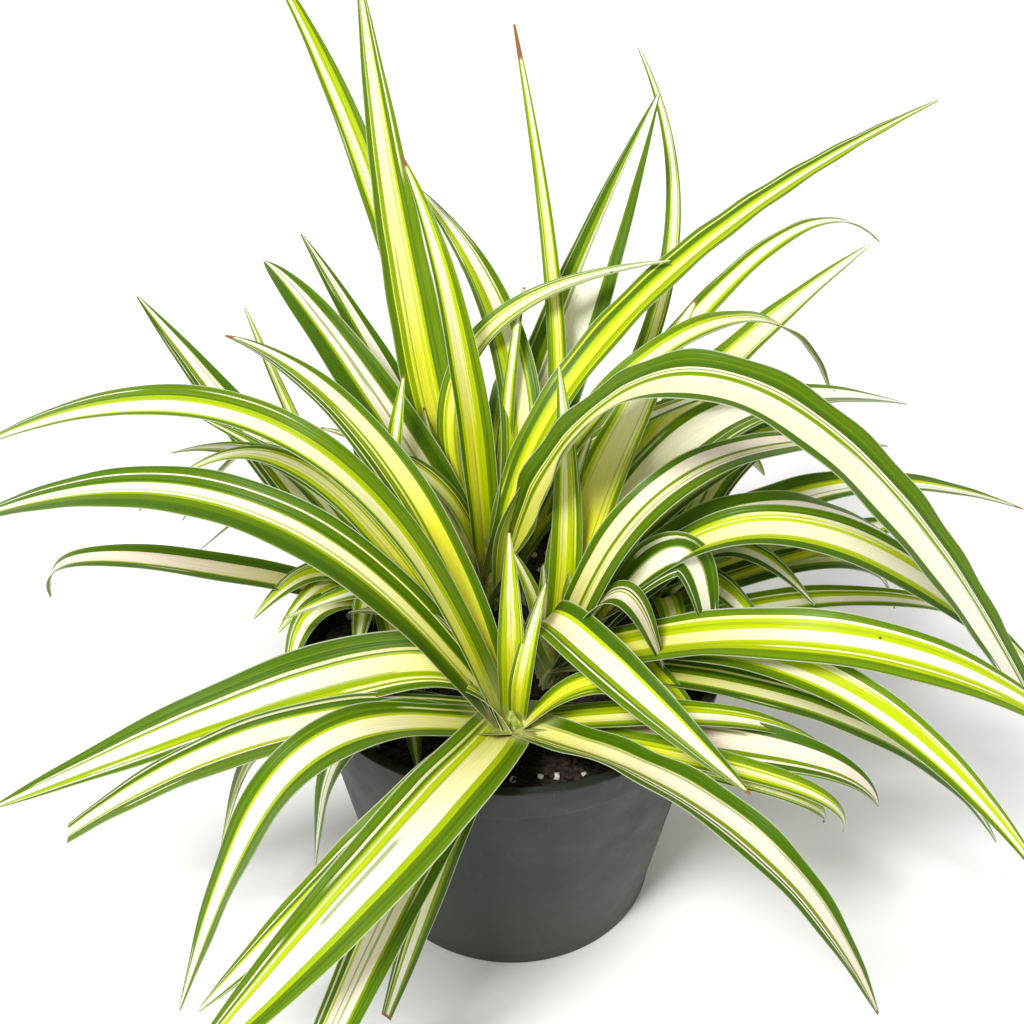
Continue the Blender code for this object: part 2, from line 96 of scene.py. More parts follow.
def turned(name, profile, sides):
    """A body turned round Z from a profile of radius and height pairs."""
    mesh = bpy.data.meshes.new(name)
    mesh.from_pydata([(r, 0.0, z) for r, z in profile], [(i, i + 1) for i in range(len(profile) - 1)], [])
    piece = placed(name, mesh)
    screw = piece.modifiers.new("Turn", "SCREW")
    screw.steps = screw.render_steps = sides
    screw.use_merge_vertices = True
    screw.merge_threshold = 0.00002
    screw.use_smooth_shade = True
    return piece


def applied(piece):
    """Puts the evaluated mesh in place of the piece's own."""
    graph = bpy.context.evaluated_depsgraph_get()
    mesh = bpy.data.meshes.new_from_object(piece.evaluated_get(graph))
    piece.modifiers.clear()
    piece.data = mesh
    mesh.name = piece.name
    return piece


def linear(code, alpha=1.0):
    """An sRGB hex value as a linear colour."""
    parts = [int(code[i:i + 2], 16) / 255 for i in (1, 3, 5)]
    return (*[c / 12.92 if c <= 0.04045 else ((c + 0.055) / 1.055) ** 2.4 for c in parts], alpha)


def feed(node, inputs):
    """Links or sets inputs: a dict names them, and a list fills those in use in order."""
    if not isinstance(inputs, dict):
        inputs = dict(zip([i for i, socket in enumerate(node.inputs) if socket.enabled], inputs))
    for key, value in inputs.items():
        if isinstance(value, bpy.types.Node):
            value = next(socket for socket in value.outputs if socket.enabled)
        if isinstance(value, bpy.types.NodeSocket):
            node.id_data.links.new(value, node.inputs[key])
        else:
            node.inputs[key].default_value = value


def add_node(tree, kind, inputs=(), **settings):
    """Adds a node with its settings, and links or sets its inputs."""
    made = tree.nodes.new("ShaderNode" + kind)
    for key, value in settings.items():
        setattr(made, key, value)
    feed(made, inputs)
    return made


def new_material(name):
    """A material with a bare Principled surface, the function that adds its nodes, and the surface."""
    made = bpy.data.materials.new(name)
    made.use_nodes = True
    return made, partial(add_node, made.node_tree), made.node_tree.nodes["Principled BSDF"]


band_low = POT_HEIGHT - BAND_HEIGHT
lip = WALL_TOP_RADIUS + BAND_STEP
pot = turned("nursery_pot", rounded([
    (0.0, FLOOR),
    (wall_radius(FLOOR) - WALL, FLOOR),
    (wall_radius(band_low - 12 * MM) - WALL, band_low - 12 * MM),
    (WALL_TOP_RADIUS - WALL, POT_HEIGHT),
    (lip, POT_HEIGHT),
    (wall_radius(band_low) + BAND_STEP, band_low),
    (wall_radius(band_low), band_low - BAND_STEP / 2),
    (wall_radius(FOOT_RISE), FOOT_RISE),
    (BASE_RADIUS + FOOT_FLARE, 0.0),
    (BASE_RADIUS - GROOVE_FROM, 0.0),
    (BASE_RADIUS - GROOVE_FROM - GROOVE_DEPTH, GROOVE_DEPTH),
    (BASE_RADIUS - GROOVE_TO + GROOVE_DEPTH, GROOVE_DEPTH),
    (BASE_RADIUS - GROOVE_TO, 0.0),
    (0.0, 0.0),
], POT_CORNER), POT_SIDES)
drill = bmesh.new()
for i in range(DRAIN_HOLES):
    turn = 2 * math.pi * i / DRAIN_HOLES
    made = bmesh.ops.create_cone(
        drill, cap_ends=True, segments=32, radius1=DRAIN_RADIUS, radius2=DRAIN_RADIUS, depth=6 * FLOOR
    )
    place = (DRAIN_CIRCLE * math.cos(turn), DRAIN_CIRCLE * math.sin(turn), 0.0)
    bmesh.ops.translate(drill, verts=made["verts"], vec=place)
drill_mesh = bpy.data.meshes.new("drill")
drill.to_mesh(drill_mesh)
drill.free()
drill_piece = placed("drill", drill_mesh)
holes = pot.modifiers.new("Drain", "BOOLEAN")
holes.operation = "DIFFERENCE"
holes.solver = "EXACT"
holes.object = drill_piece
applied(pot)
bpy.data.objects.remove(drill_piece, do_unlink=True)
pot.data.shade_smooth()
pot.data.set_sharp_from_angle(angle=math.radians(38))

# Moulded polypropylene: a satin skin with a faint orange-peel texture from the mould, fine
# scuffs, and a bloom of dried water and dust that gathers low on the wall.
CLOUD_SIZE = 18.2 * MM
SCUFF_WIDTH = 2.38 * MM
SCUFF_LENGTH = 25 * MM
PEEL_SIZE = 0.714 * MM
DUSTY_TO = 70 * MM
plastic, add, shader = new_material("moulded_polypropylene")
place = add("NewGeometry")
height = add("SeparateXYZ", [place]).outputs[2]
cloud = add("TexNoise", {"Vector": place, "Scale": 1 / CLOUD_SIZE, "Detail": 5.0, "Roughness": 0.6})
low = add("MapRange", [height, 0.0, DUSTY_TO, 0.45, 0.05])
grime = add("Math", [cloud, low], operation="MULTIPLY")
streaked = add("Mapping", {"Vector": place, "Scale": (1 / SCUFF_WIDTH, 1 / SCUFF_WIDTH, 1 / SCUFF_LENGTH)})
scuffs = add("TexNoise", {"Vector": streaked, "Scale": 1.0, "Detail": 3.0})
scuffed = add("MapRange", [scuffs, 0.6, 0.78, 0.0, 0.35])
tint = add("Mix", [scuffed, linear(POT_GREEN), linear(POT_WORN)], data_type="RGBA")
peel = add("TexNoise", {"Vector": place, "Scale": 1 / PEEL_SIZE, "Detail": 2.0})
feed(shader, {
    "Base Color": add("Mix", [grime, tint, linear(POT_DUST)], data_type="RGBA"),
    "Roughness": add("MapRange", [cloud, 0.3, 0.75, 0.42, 0.62]),
    "Normal": add("Bump", {"Height": peel, "Strength": 0.12, "Distance": 0.2 * MM}),
    "IOR": 1.49,
    "Specular IOR Level": 0.35,
})
pot.data.materials.clear()
pot.data.materials.append(plastic)
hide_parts("pot")
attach(pot, "root")

# Potting compost: dark, damp peat with bark crumbs and a few white perlite grains. It fills
# the pot to a finger's width below the lip, loosely levelled by hand.
SOIL_TOP = POT_HEIGHT - 12 * MM
SOIL_BUMP = 1.2 * MM
GAP = 0.3 * MM
LUMPS_PER_METRE = 260
LUMP_RISE = 1.1 * MM
RIM_MARGIN = 4 * MM
PEAT = ("#140e0a", "#2c2018", "#4a382a")
GRAIN_SIZE = 2.08 * MM
MOTTLE_SIZE = 4.17 * MM


def soil_height(x, y):
    wave = math.sin(x / (9 * MM) + 0.7) * math.cos(y / (11 * MM))
    wave += math.sin((x + y) / (6 * MM)) * 0.6
    wave += math.cos((x - 2 * y) / (8 * MM) + 1.9) * 0.4
    return SOIL_TOP + SOIL_BUMP * (wave / 2 - 0.2)


def set_stops(ramp, codes, places):
    """Gives a ramp of three colours its stops."""
    stops = ramp.color_ramp.elements
    stops.new(0.5)
    for stop, code, where in zip(stops, codes, places):
        stop.position = where
        stop.color = linear(code)


edge = SOIL_TOP - SOIL_BUMP
rim = wall_radius(edge) - WALL - GAP
soil_profile = [(rim * i / 60, SOIL_TOP) for i in range(61)]
soil_profile += [(wall_radius(FLOOR + GAP) - WALL - GAP, FLOOR + GAP), (0.0, FLOOR + GAP)]
soil = applied(turned("compost", soil_profile, 160))
for vert in soil.data.vertices:
    if vert.co.z > SOIL_TOP - MM:
        x, y, _ = vert.co
        inner = max(0.0, min(1.0, (rim - math.hypot(x, y)) / RIM_MARGIN))
        lumps = noise.fractal(Vector((x, y, 0.0)) * LUMPS_PER_METRE, 0.9, 2.1, 4) * LUMP_RISE
        vert.co.z = edge + (soil_height(x, y) - edge + lumps) * inner
soil.data.shade_smooth()

# Damp peat scatters light with no gloss but glints on wet fibres, so it is rough and dark, with
# crumbs a few millimetres across.
peat, add, shader = new_material("damp_peat_compost")
place = add("NewGeometry")
grains = add("TexVoronoi", {"Vector": place, "Scale": 1 / GRAIN_SIZE})
mottle = add("TexNoise", {"Vector": place, "Scale": 1 / MOTTLE_SIZE, "Detail": 8.0, "Roughness": 0.7})
shades = add("ValToRGB", [mottle])
set_stops(shades, PEAT, (0.38, 0.55, 0.74))
lumpy = add("Math", [mottle, grains], operation="SUBTRACT")
feed(shader, {
    "Base Color": shades,
    "Roughness": add("MapRange", [mottle, 0.35, 0.7, 0.62, 0.97]),
    "Normal": add("Bump", {"Height": lumpy, "Strength": 0.9, "Distance": 2 * MM}),
})
soil.data.materials.clear()
soil.data.materials.append(peat)
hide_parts("soil")
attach(soil, "root")

# Crumbs: chips of composted bark and grains of white perlite that lie loose on the compost,
# half sunk in it.
CRUMBS = 1300
CRUMB_SIZE = (0.5 * MM, 1.7 * MM)
PERLITE_SHARE = 0.05
BARK = ("#1d140e", "#5b4531")
CHIP_FIBRE = 0.667 * MM
PERLITE_WHITE = "#d9d6cc"
SHOOT_PLACES = {
    "shoot_front": ((0, -38), 9),
    "shoot_middle": ((14, -8), 8),
    "shoot_back": ((-7, 32), 9),
    "shoot_left": ((-46, 24), 7),
    "shoot_right": ((50, 22), 6),
}

draw = random.Random(5)
crumbs = bmesh.new()
tint_layer = crumbs.verts.layers.float.new("crumb_tint")
made_crumbs = 0
while made_crumbs < CRUMBS:
    turn, reach = draw.uniform(0, 2 * math.pi), (rim - 3 * MM) * math.sqrt(draw.random())
    x, y = reach * math.cos(turn), reach * math.sin(turn)
    size = draw.uniform(*CRUMB_SIZE)
    if any(math.hypot(x - px * MM, y - py * MM) < r * MM + size for (px, py), r in SHOOT_PLACES.values()):
        continue
    white = draw.random() < PERLITE_SHARE
    shape = (1.0, 1.0, 0.9) if white else (1.0, draw.uniform(0.5, 1.0), draw.uniform(0.35, 0.8))
    made = bmesh.ops.create_icosphere(crumbs, subdivisions=1, radius=size)["verts"]
    tilt = Matrix.Rotation(draw.uniform(0, 6.3), 3, "Z") @ Matrix.Rotation(draw.uniform(-0.6, 0.6), 3, "X")
    tint = 1.0 + draw.random() if white else draw.random()
    for vert in made:
        rough = 1 + draw.uniform(-0.22, 0.22)
        vert.co = tilt @ Vector([c * s * rough for c, s in zip(vert.co, shape)])
        vert.co += Vector((x, y, soil_height(x, y) + 0.2 * size))
        vert[tint_layer] = tint
    made_crumbs += 1
crumb_mesh = bpy.data.meshes.new("compost_crumbs")
crumbs.to_mesh(crumb_mesh)
crumbs.free()
crumb_piece = placed("compost_crumbs", crumb_mesh)

# Bark breaks in flat fibrous chips, matt and brown. Perlite is expanded glass, chalk white.
chips, add, shader = new_material("bark_and_perlite")
tint = add("Attribute", attribute_name="crumb_tint").outputs["Fac"]
fibres = add("TexNoise", {"Vector": add("NewGeometry"), "Scale": 1 / CHIP_FIBRE, "Detail": 4.0})
shade = add("Math", [tint, fibres], operation="MULTIPLY")
brown = add("Mix", [shade, linear(BARK[0]), linear(BARK[1])], data_type="RGBA")
white = add("Math", [tint, 1.0], operation="GREATER_THAN")
feed(shader, {
    "Base Color": add("Mix", [white, brown, linear(PERLITE_WHITE)], data_type="RGBA"),
    "Roughness": add("MapRange", [fibres, 0.3, 0.7, 0.75, 0.95]),
    "Normal": add("Bump", {"Height": fibres, "Strength": 0.6, "Distance": 0.6 * MM}),
})
crumb_piece.data.materials.append(chips)
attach(crumb_piece, "root")

# Crowns: the short stem of each shoot, wrapped in the pale bases of its leaves. Each base
# clasps the next, so the crown shows overlapping upright folds where it leaves the compost.
NECK_DEPTH = 12 * MM
NECK_RISE = 13 * MM
FOLDS = 7
CROWN_SIDES = 84
CROWN_RINGS = 22
LAP_TWIST = 20 * MM
SHEATH = ("#d3cf8c", "#a3b342", "#6a8528")
VEIN_WIDTH = 1.11 * MM
VEIN_LENGTH = 22.2 * MM
BROWN_TO = 3 * MM
SHEATH_BROWN = "#7a5a3c"


def crown_radius(height, radius):
    """The crown's radius: upright to a quarter of its rise, then drawn in to a furled point."""
    start = NECK_RISE * 0.25
    share = max(0.0, (height - start) / (NECK_RISE - start))
    return radius * (1 - 0.88 * share ** 0.8)


crowns = []
for name, ((px, py), neck) in SHOOT_PLACES.items():
    verts, faces = [], []
    for i in range(CROWN_RINGS + 1):
        height = -NECK_DEPTH + (NECK_RISE + NECK_DEPTH - MM) * i / CROWN_RINGS
        for j in range(CROWN_SIDES):
            turn = 2 * math.pi * j / CROWN_SIDES
            lap = (turn * FOLDS / (2 * math.pi) + height / LAP_TWIST) % 1.0
            size = crown_radius(height, neck * MM) * (0.62 + 0.12 * lap ** 2)
            x, y = px * MM + size * math.cos(turn), py * MM + size * math.sin(turn)
            verts.append((x, y, SOIL_TOP + height))
    for i in range(CROWN_RINGS):
        for j in range(CROWN_SIDES):
            k = (j + 1) % CROWN_SIDES
            a, b = i * CROWN_SIDES, (i + 1) * CROWN_SIDES
            faces.append((a + j, a + k, b + k, b + j))
    faces.append(tuple(reversed(range(CROWN_SIDES))))
    last = CROWN_RINGS * CROWN_SIDES
    verts.append((px * MM, py * MM, SOIL_TOP + NECK_RISE))
    faces += [(last + j, last + (j + 1) % CROWN_SIDES, len(verts) - 1) for j in range(CROWN_SIDES)]
    mesh = bpy.data.meshes.new(name + "_crown")
    mesh.from_pydata(verts, [], faces)
    mesh.shade_smooth()
    mesh.set_sharp_from_angle(angle=math.radians(50))
    crowns.append((placed(name + "_crown", mesh), name))

# A leaf base is pale, moist tissue with lengthwise veins, greener where light reaches it and
# papery brown at its lowest edge.
sheath, add, shader = new_material("pale_leaf_base")
place = add("NewGeometry")
height = add("SeparateXYZ", [place]).outputs[2]
long = add("Mapping", {"Vector": place, "Scale": (1 / VEIN_WIDTH, 1 / VEIN_WIDTH, 1 / VEIN_LENGTH)})
veins = add("TexNoise", {"Vector": long, "Scale": 1.0, "Detail": 3.0})
shades = add("ValToRGB", [veins])
set_stops(shades, SHEATH, (0.35, 0.52, 0.68))
old = add("MapRange", [height, SOIL_TOP - MM, SOIL_TOP + BROWN_TO, 0.8, 0.0])
feed(shader, {
    "Base Color": add("Mix", [old, shades, linear(SHEATH_BROWN)], data_type="RGBA"),
    "Roughness": add("MapRange", [veins, 0.3, 0.7, 0.42, 0.6]),
    "Normal": add("Bump", {"Height": veins, "Strength": 0.4, "Distance": 0.4 * MM}),
})
for crown, node in crowns:
    crown.data.materials.append(sheath)
    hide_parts(node)
    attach(crown, "root")

# Leaves: long living blades that grow from each crown in a fan, rise, arch over and taper to
# a point. Each is a shallow channel along its keel, half a millimetre thick, folded at its base
# where it clasps the crown, and marked lengthwise in cream and green.
ROOT_OUT = 5 * MM
ROOT_UP = 6 * MM
BLADE = 0.7 * MM
TIP_WIDTH = 0.9 * MM
BASE_SHARE = 0.55
WIDEST = 0.36
CHANNEL = 0.13
SEGMENT = 34 * MM
MIN_SEGMENTS = 4
MAX_SEGMENTS = 12
ROLL_STOPS = (0.15, 0.3, 0.6)
CLEARANCE = 0.4 * MM
TEST_STEPS = 18
CROWDED = 0.35
NECK_SIDES = 14

# A leaf is a direction in degrees (0 is +X, 90 is +Y), the reach and height of its middle,
# the reach and height of its tip, its greatest width, its bend (0.67 even, 0.88 sharp),
# the roll of its face in degrees, the sideways bow of its middle, and the share of its point
# that is left. A leaf that twists has two rolls, for a third of the way up and for its outer
# half, or three with one near its base first. Lengths are millimetres from the shoot's place
# on the compost.
LEAF_ROWS = {
    "shoot_front": (
        (135, 53, 91, 140, 96, 16, 0.67, 0, 5, 1),
        (150, 73, 114, 233, 34, 13, 0.75, (0, -40), 18, 1),
        (159, 85, 85, 213, 30, 20, 0.75, -25, 14, 1),
        (183, 44, 26, 178, -25, 23, 0.80, (-30, -20), -9, 1),
        (226, 84, 27, 149, -42, 24, 0.55, -25, 27, 1),
        (238, 67, 9, 150, -75, 18, 0.80, 0, 8, 1),
        (239, 46, 9, 80, -60, 12, 0.90, 0, 8, 0.9),
        (216, 63, 15, 125, -50, 18, 0.80, 0, 22, 1),
        (213, 81, 41, 129, -54, 19, 0.90, 0, 8, 1),
        (189, 75, 14, 150, -22, 20, 0.67, 0, 0, 0.86),
        (187, 73, 9, 104, -53, 18, 0.85, 0, -10, 1),
        (165, 32, 49, 79, 35, 18, 0.80, 0, -9, 1),
        (148, 32, 33, 66, 25, 10, 0.67, 0, 0, 1),
        (187, 49, 18, 84, -8, 13, 0.80, 0, 0, 1),
        (207, 54, 25, 73, -26, 16, 0.85, 0, -2, 1),
        (153, 76, 87, 146, 45, 10, 0.80, 0, 0, 1),
        (147, 66, 73, 141, 62, 15, 0.67, 0, -1, 1),
        (-11, 91, 14, 123, -8, 21, 0.75, 20, -3, 1),
        (-37, 95, 30, 143, -34, 18, 0.75, (-20, 0), -13, 1),
        (-13, 39, 49, 68, -1, 10, 0.75, 20, -16, 1),
        (-13, 86, 11, 106, -15, 9, 0.80, 0, -13, 1),
        (-14, 90, 14, 113, -16, 11, 0.80, 0, -10, 1),
        (96, 5, 45, 9, 82, 9, 0.67, 0, 0, 1),
        (60, 9, 30, 22, 52, 8, 0.67, 0, 0, 1),
        (-3, 67, 27, 106, 1, 13, 0.75, 0, -11, 1),
    ),
    "shoot_middle": (
        (38, 68, 72, 173, 40, 22, 0.75, 0, 2, 1),
        (32, 37, 83, 146, 42, 15, 0.75, 0, -18, 1),
        (47, 55, 66, 174, 98, 17, 0.67, 0, 5, 1),
        (24, 94, 48, 197, 10, 17, 0.75, 0, 1, 1),
        (1, 75, 70, 181, -14, 17, 0.75, (0, 40), -6, 1),
        (20, 57, 65, 130, 26, 20, 0.75, 0, -14, 1),
        (-8, 97, 48, 179, -5, 20, 0.70, (0, 30), -22, 1),
        (-26, 93, 37, 178, -20, 16, 0.70, 25, 2, 1),
        (-14, 103, 14, 159, -43, 16, 0.70, 10, -11, 1),
        (-54, 14, 39, 100, 28, 18, 0.95, (0, 25), -9, 1),
        (70, 8, 55, 40, 80, 9, 0.67, 0, 0, 1),
        (116, 6, 20, 8, 45, 7, 0.67, 0, 0, 1),
        (201, 8, 16, 13, 36, 5, 0.67, 0, 0, 1),
        (11, 105, 18, 173, -15, 13, 0.67, 0, 0, 1),
        (3, 93, 16, 137, -5, 11, 0.80, 0, 0, 1),
        (88, 12, 58, 38, 104, 11, 0.67, 0, 0, 1),
        (56, 26, 62, 88, 108, 18, 0.67, 0, 0, 1),
        (31, 36, 43, 93, 67, 12, 0.67, 0, 5, 1),
        (140, 9, 30, 20, 48, 8, 0.67, 0, 0, 1),
        (-40, 34, 26, 68, 8, 13, 0.75, 0, 0, 1),
        (-15, 40, 62, 55, 24, 18, 0.92, (0, 50), 3, 1),
        (-33, 26, 52, 43, 26, 15, 0.85, 0, -3, 1),
    ),
    "shoot_back": (
        (113, 40, 69, 119, 194, 19, 0.67, 0, 8, 1),
        (115, 105, 115, 212, 165, 14, 0.67, 0, -1, 1),
        (118, 22, 101, 65, 150, 13, 0.67, 0, 1, 1),
        (104, 27, 79, 121, 105, 15, 0.67, 0, -15, 1),
        (85, 38, 55, 89, 185, 7, 0.67, 0, -20, 1),
        (58, 38, 48, 111, 155, 26, 0.67, 15, 6, 1),
        (69, 84, 85, 152, 150, 8, 0.67, 0, -33, 1),
        (44, 57, 97, 246, 114, 13, 0.67, 0, -5, 1),
        (40, 113, 101, 198, 75, 12, 0.75, 0, -8, 1),
        (34, 53, 113, 160, 28, 12, 0.50, 0, -34, 1),
        (-14, 87, 133, 215, -46, 22, 0.67, (35, -6, 29), -37, 1),
        (136, 53, 85, 117, 94, 21, 0.67, 0, 16, 1),
        (133, 47, 62, 101, 110, 15, 0.67, 0, 1, 1),
        (78, 28, 70, 55, 100, 6, 0.67, 0, 0, 1),
        (137, 21, 35, 33, 70, 9, 0.67, 0, 0, 1),
        (44, 15, 83, 87, 106, 11, 0.67, 0, 29, 1),
        (8, 32, 62, 92, 88, 13, 0.67, 0, 0, 1),
        (165, 20, 48, 62, 66, 11, 0.67, 0, 0, 1),
        (-40, 8, 40, 22, 74, 9, 0.67, 0, 0, 1),
    ),
    "shoot_left": (
        (176, 93, 29, 123, 1, 15, 0.80, 0, 9, 1),
        (135, 64, 38, 135, 75, 19, 0.67, 0, 0, 1),
        (128, 44, 48, 81, 90, 6, 0.67, 0, 0, 1),
        (233, 36, 26, 51, 6, 13, 0.80, 0, 0, 1),
        (280, 52, 19, 88, 9, 12, 0.80, 0, 0, 1),
        (70, 10, 46, 26, 88, 10, 0.67, 0, 0, 1),
        (78, 14, 38, 30, 66, 10, 0.67, 0, 0, 1),
        (150, 26, 44, 74, 60, 12, 0.67, 0, 0, 1),
        (202, 24, 27, 48, 14, 11, 0.75, 0, 0, 1),
        (218, 22, 26, 44, 16, 11, 0.75, 0, 0, 1),
        (258, 20, 24, 36, 12, 10, 0.75, 0, 0, 1),
    ),
    "shoot_right": (
        (-20, 27, 40, 58, 24, 12, 0.75, 0, 0, 1),
        (16, 40, 22, 104, 24, 21, 0.67, 0, -6, 1),
        (12, 33, 29, 55, 18, 10, 0.67, 0, 0, 1),
        (4, 64, 22, 94, -5, 13, 0.80, 0, 0, 1),
        (9, 75, 22, 101, -5, 6, 0.80, 0, 0, 1),
        (40, 14, 36, 34, 58, 9, 0.67, 0, 0, 1),
        (120, 12, 36, 34, 60, 9, 0.67, 0, 0, 1),
        (-45, 24, 32, 56, 20, 13, 0.75, 0, 0, 1),
        (-80, 22, 26, 42, 10, 11, 0.75, 0, 0, 1),
    ),
}

# Leaves on the far side, spread evenly with a little scatter: how many, the first and last
# direction, and the usual reach and height of the tip.
FAR_SIDE = {
    "shoot_back": (6, 62, 158, 135, -15),
    "shoot_left": (3, 92, 146, 105, -10),
    "shoot_right": (3, 22, 112, 105, -20),
}
FAR_SEED = 11
FAR_MIDDLE_SHARE = 0.45
FAR_MIDDLE_HEIGHT = (34, 54)
FAR_WIDTH = (13, 18)

# Bends tried, smallest first, until a leaf clears the pot and the other shoots: millimetres
# back and down for the middle and for the tip, which hardly show from the front, then swing
# in degrees, lift of the middle and bow in millimetres. Each has its own weight.
BACK_AND_DOWN = Vector((0.0, math.cos(math.radians(39)), -math.sin(math.radians(39))))
MIDDLES_BACK = (0, 4, -4, 8, -8, 13, -13, 19, -19)
TIPS_BACK = (0, 6, -6, 14, -14, 24, -24)
SWINGS = (0, 2, -2, 5, -5, 9, -9, 16, -16)
LIFTS = (0, 3, -3, 7, 12, 18, 26)
BOWS = (0, 4, -4, 9, -9)
BEND_WEIGHTS = (0.3, 0.25, 1.6, 1.3, 1.2)
TOUCH_WEIGHT = 4.0


def far_side_rows(name):
    """Rows for the leaves behind, which lean out evenly and droop past the rim."""
    if name not in FAR_SIDE:
        return []
    count, first, last, reach, tip_height = FAR_SIDE[name]
    draw = random.Random(FAR_SEED + count + first)
    rows = []
    for i in range(count):
        direction = first + (last - first) * (i + 0.5) / count + draw.uniform(-5, 5)
        length = reach * draw.uniform(0.85, 1.2)
        middle = draw.uniform(*FAR_MIDDLE_HEIGHT)
        drop = tip_height + draw.uniform(-18, 18)
        width = draw.uniform(*FAR_WIDTH)
        bow = draw.uniform(-8, 8)
        rows.append((direction, FAR_MIDDLE_SHARE * length, middle, length, drop, width, 0.78, 0, bow, 1))
    return rows


def leaf_curve(place, row, bend):
    """The root, two handles and tip of a leaf's middle line, and its heading."""
    direction, mid_reach, mid_height, tip_reach, tip_height, _, sharp, _, side, _ = row
    middle_back, tip_back, swing, lift, bow = bend
    heading = math.radians(direction + swing)
    out = Vector((math.cos(heading), math.sin(heading), 0.0))
    across = Vector((-math.sin(heading), math.cos(heading), 0.0))
    foot = Vector((place[0] * MM, place[1] * MM, SOIL_TOP))
    up = Vector((0.0, 0.0, 1.0))
    root = foot + out * ROOT_OUT + up * ROOT_UP
    middle = foot + out * mid_reach * MM + across * (side + bow) * MM + up * (mid_height + lift) * MM
    tip = foot + out * tip_reach * MM + up * (tip_height + lift / 2) * MM
    middle += BACK_AND_DOWN * middle_back * MM
    tip += BACK_AND_DOWN * tip_back * MM
    corner = (8 * middle - (4 - 3 * sharp) * (root + tip)) / (6 * sharp)
    return root, root + sharp * (corner - root), tip + sharp * (corner - tip), tip, heading


def curve_points(curve, segments):
    """Even steps of the cubic curve's own measure, from root to tip."""
    a, b, c, d, _ = curve
    points = []
    for i in range(segments + 1):
        t = i / segments
        s = 1 - t
        points.append(s ** 3 * a + 3 * t * s ** 2 * b + 3 * t ** 2 * s * c + t ** 3 * d)
    return points


def leaf_width(v, width):
    """Narrow at the base, widest a third of the way up, with a long tapering point."""
    if v < WIDEST:
        grow = v / WIDEST
        return width * (BASE_SHARE + (1 - BASE_SHARE) * grow * (2 - grow))
    fade = (v - WIDEST) / (1 - WIDEST)
    return TIP_WIDTH + (width - TIP_WIDTH) * (1 - fade ** 1.7) ** 0.95


def roll_at(v, roll):
    """How far the face has rolled at a share of the leaf's length, in radians."""
    if not isinstance(roll, tuple):
        roll = (roll / 2, roll)
    if len(roll) == 2:
        roll = (roll[0] / 2, *roll)
    stops = [(0.0, 0.0), *zip(ROLL_STOPS, roll)]
    for (low, before), (high, after) in zip(stops, stops[1:]):
        if v < high:
            return math.radians(before + (after - before) * (v - low) / (high - low))
    return math.radians(roll[2])


def stations(curve, row, segments):
    """Along the leaf: the share of its length, a point, the way across, the way up and the width."""
    points = curve_points(curve, segments)
    heading = curve[4]
    flat = Vector((-math.sin(heading), math.cos(heading), 0.0))
    lengths = [0.0]
    for here, there in zip(points, points[1:]):
        lengths.append(lengths[-1] + (there - here).length)
    found = []
    for i, point in enumerate(points):
        v = lengths[i] / lengths[-1]
        along = (points[min(i + 1, segments)] - points[max(i - 1, 0)]).normalized()
        wide = (flat - along * flat.dot(along)).normalized()
        face = along.cross(wide)
        turn = roll_at(v, row[7])
        wide, face = (
            wide * math.cos(turn) + face * math.sin(turn),
            face * math.cos(turn) - wide * math.sin(turn),
        )
        found.append((v, point, wide, face, leaf_width(v * row[9], row[5] * MM)))
    return found, lengths[-1]


def spare_blade(curve, row, segments):
    """A coarse blade with the room that the leaf needs, to find how it lies between the others."""
    verts = []
    for v, point, wide, face, full in stations(curve, row, segments)[0]:
        half = full / 2 + CLEARANCE
        rise = CHANNEL * full * (1.6 - v)
        for level in (BLADE / 2 + CLEARANCE, -BLADE / 2 - CLEARANCE):
            verts.append(point + wide * half + face * (rise + level))
            verts.append(point + face * level)
            verts.append(point - wide * half + face * (rise + level))
    faces = [(0, 4, 1), (0, 3, 4), (1, 5, 2), (1, 4, 5)]
    ring = (0, 1, 2, 5, 4, 3)
    for i in range(segments):
        a, b = 6 * i, 6 * (i + 1)
        for j, here in enumerate(ring):
            there = ring[(j + 1) % 6]
            if j in (0, 3):
                faces += [(a + here, b + there, b + here), (a + here, a + there, b + there)]
            else:
                faces += [(a + here, a + there, b + here), (b + here, a + there, b + there)]
    end = 6 * segments
    faces += [(end + p, end + q, end + r) for p, q, r in ((0, 1, 4), (0, 4, 3), (1, 2, 5), (1, 5, 4))]
    return verts, faces


def segment_count(curve):
    points = curve_points(curve, MAX_SEGMENTS)
    length = sum((there - here).length for here, there in zip(points, points[1:]))
    return max(MIN_SEGMENTS, min(MAX_SEGMENTS, round(length / SEGMENT)))


def pot_outer(height):
    return wall_radius(height) + (BAND_STEP if height > POT_HEIGHT - BAND_HEIGHT else 0.0)


def point_is_clear(point):
    """True for a point over the pot, in it above the compost, or outside it above the ground."""
    gap = 2 * GAP
    if point.z > POT_HEIGHT + gap:
        return True
    radius = math.hypot(point.x, point.y)
    if radius < wall_radius(point.z) - WALL - gap:
        return point.z > SOIL_TOP + SOIL_BUMP + gap
    return radius > pot_outer(point.z) + gap and point.z > 3 * MM


def clear_of_pot(verts, segments):
    for i in range(segments):
        for step in range(TEST_STEPS):
            share = step / (TEST_STEPS - 1)
            ring = [verts[6 * i + j].lerp(verts[6 * i + 6 + j], share) for j in (0, 1, 2, 5, 4, 3)]
            for here, there in zip(ring, ring[1:]):
                if not all(point_is_clear(here.lerp(there, across)) for across in (0.0, 0.35, 0.7, 1.0)):
                    return False
    return True


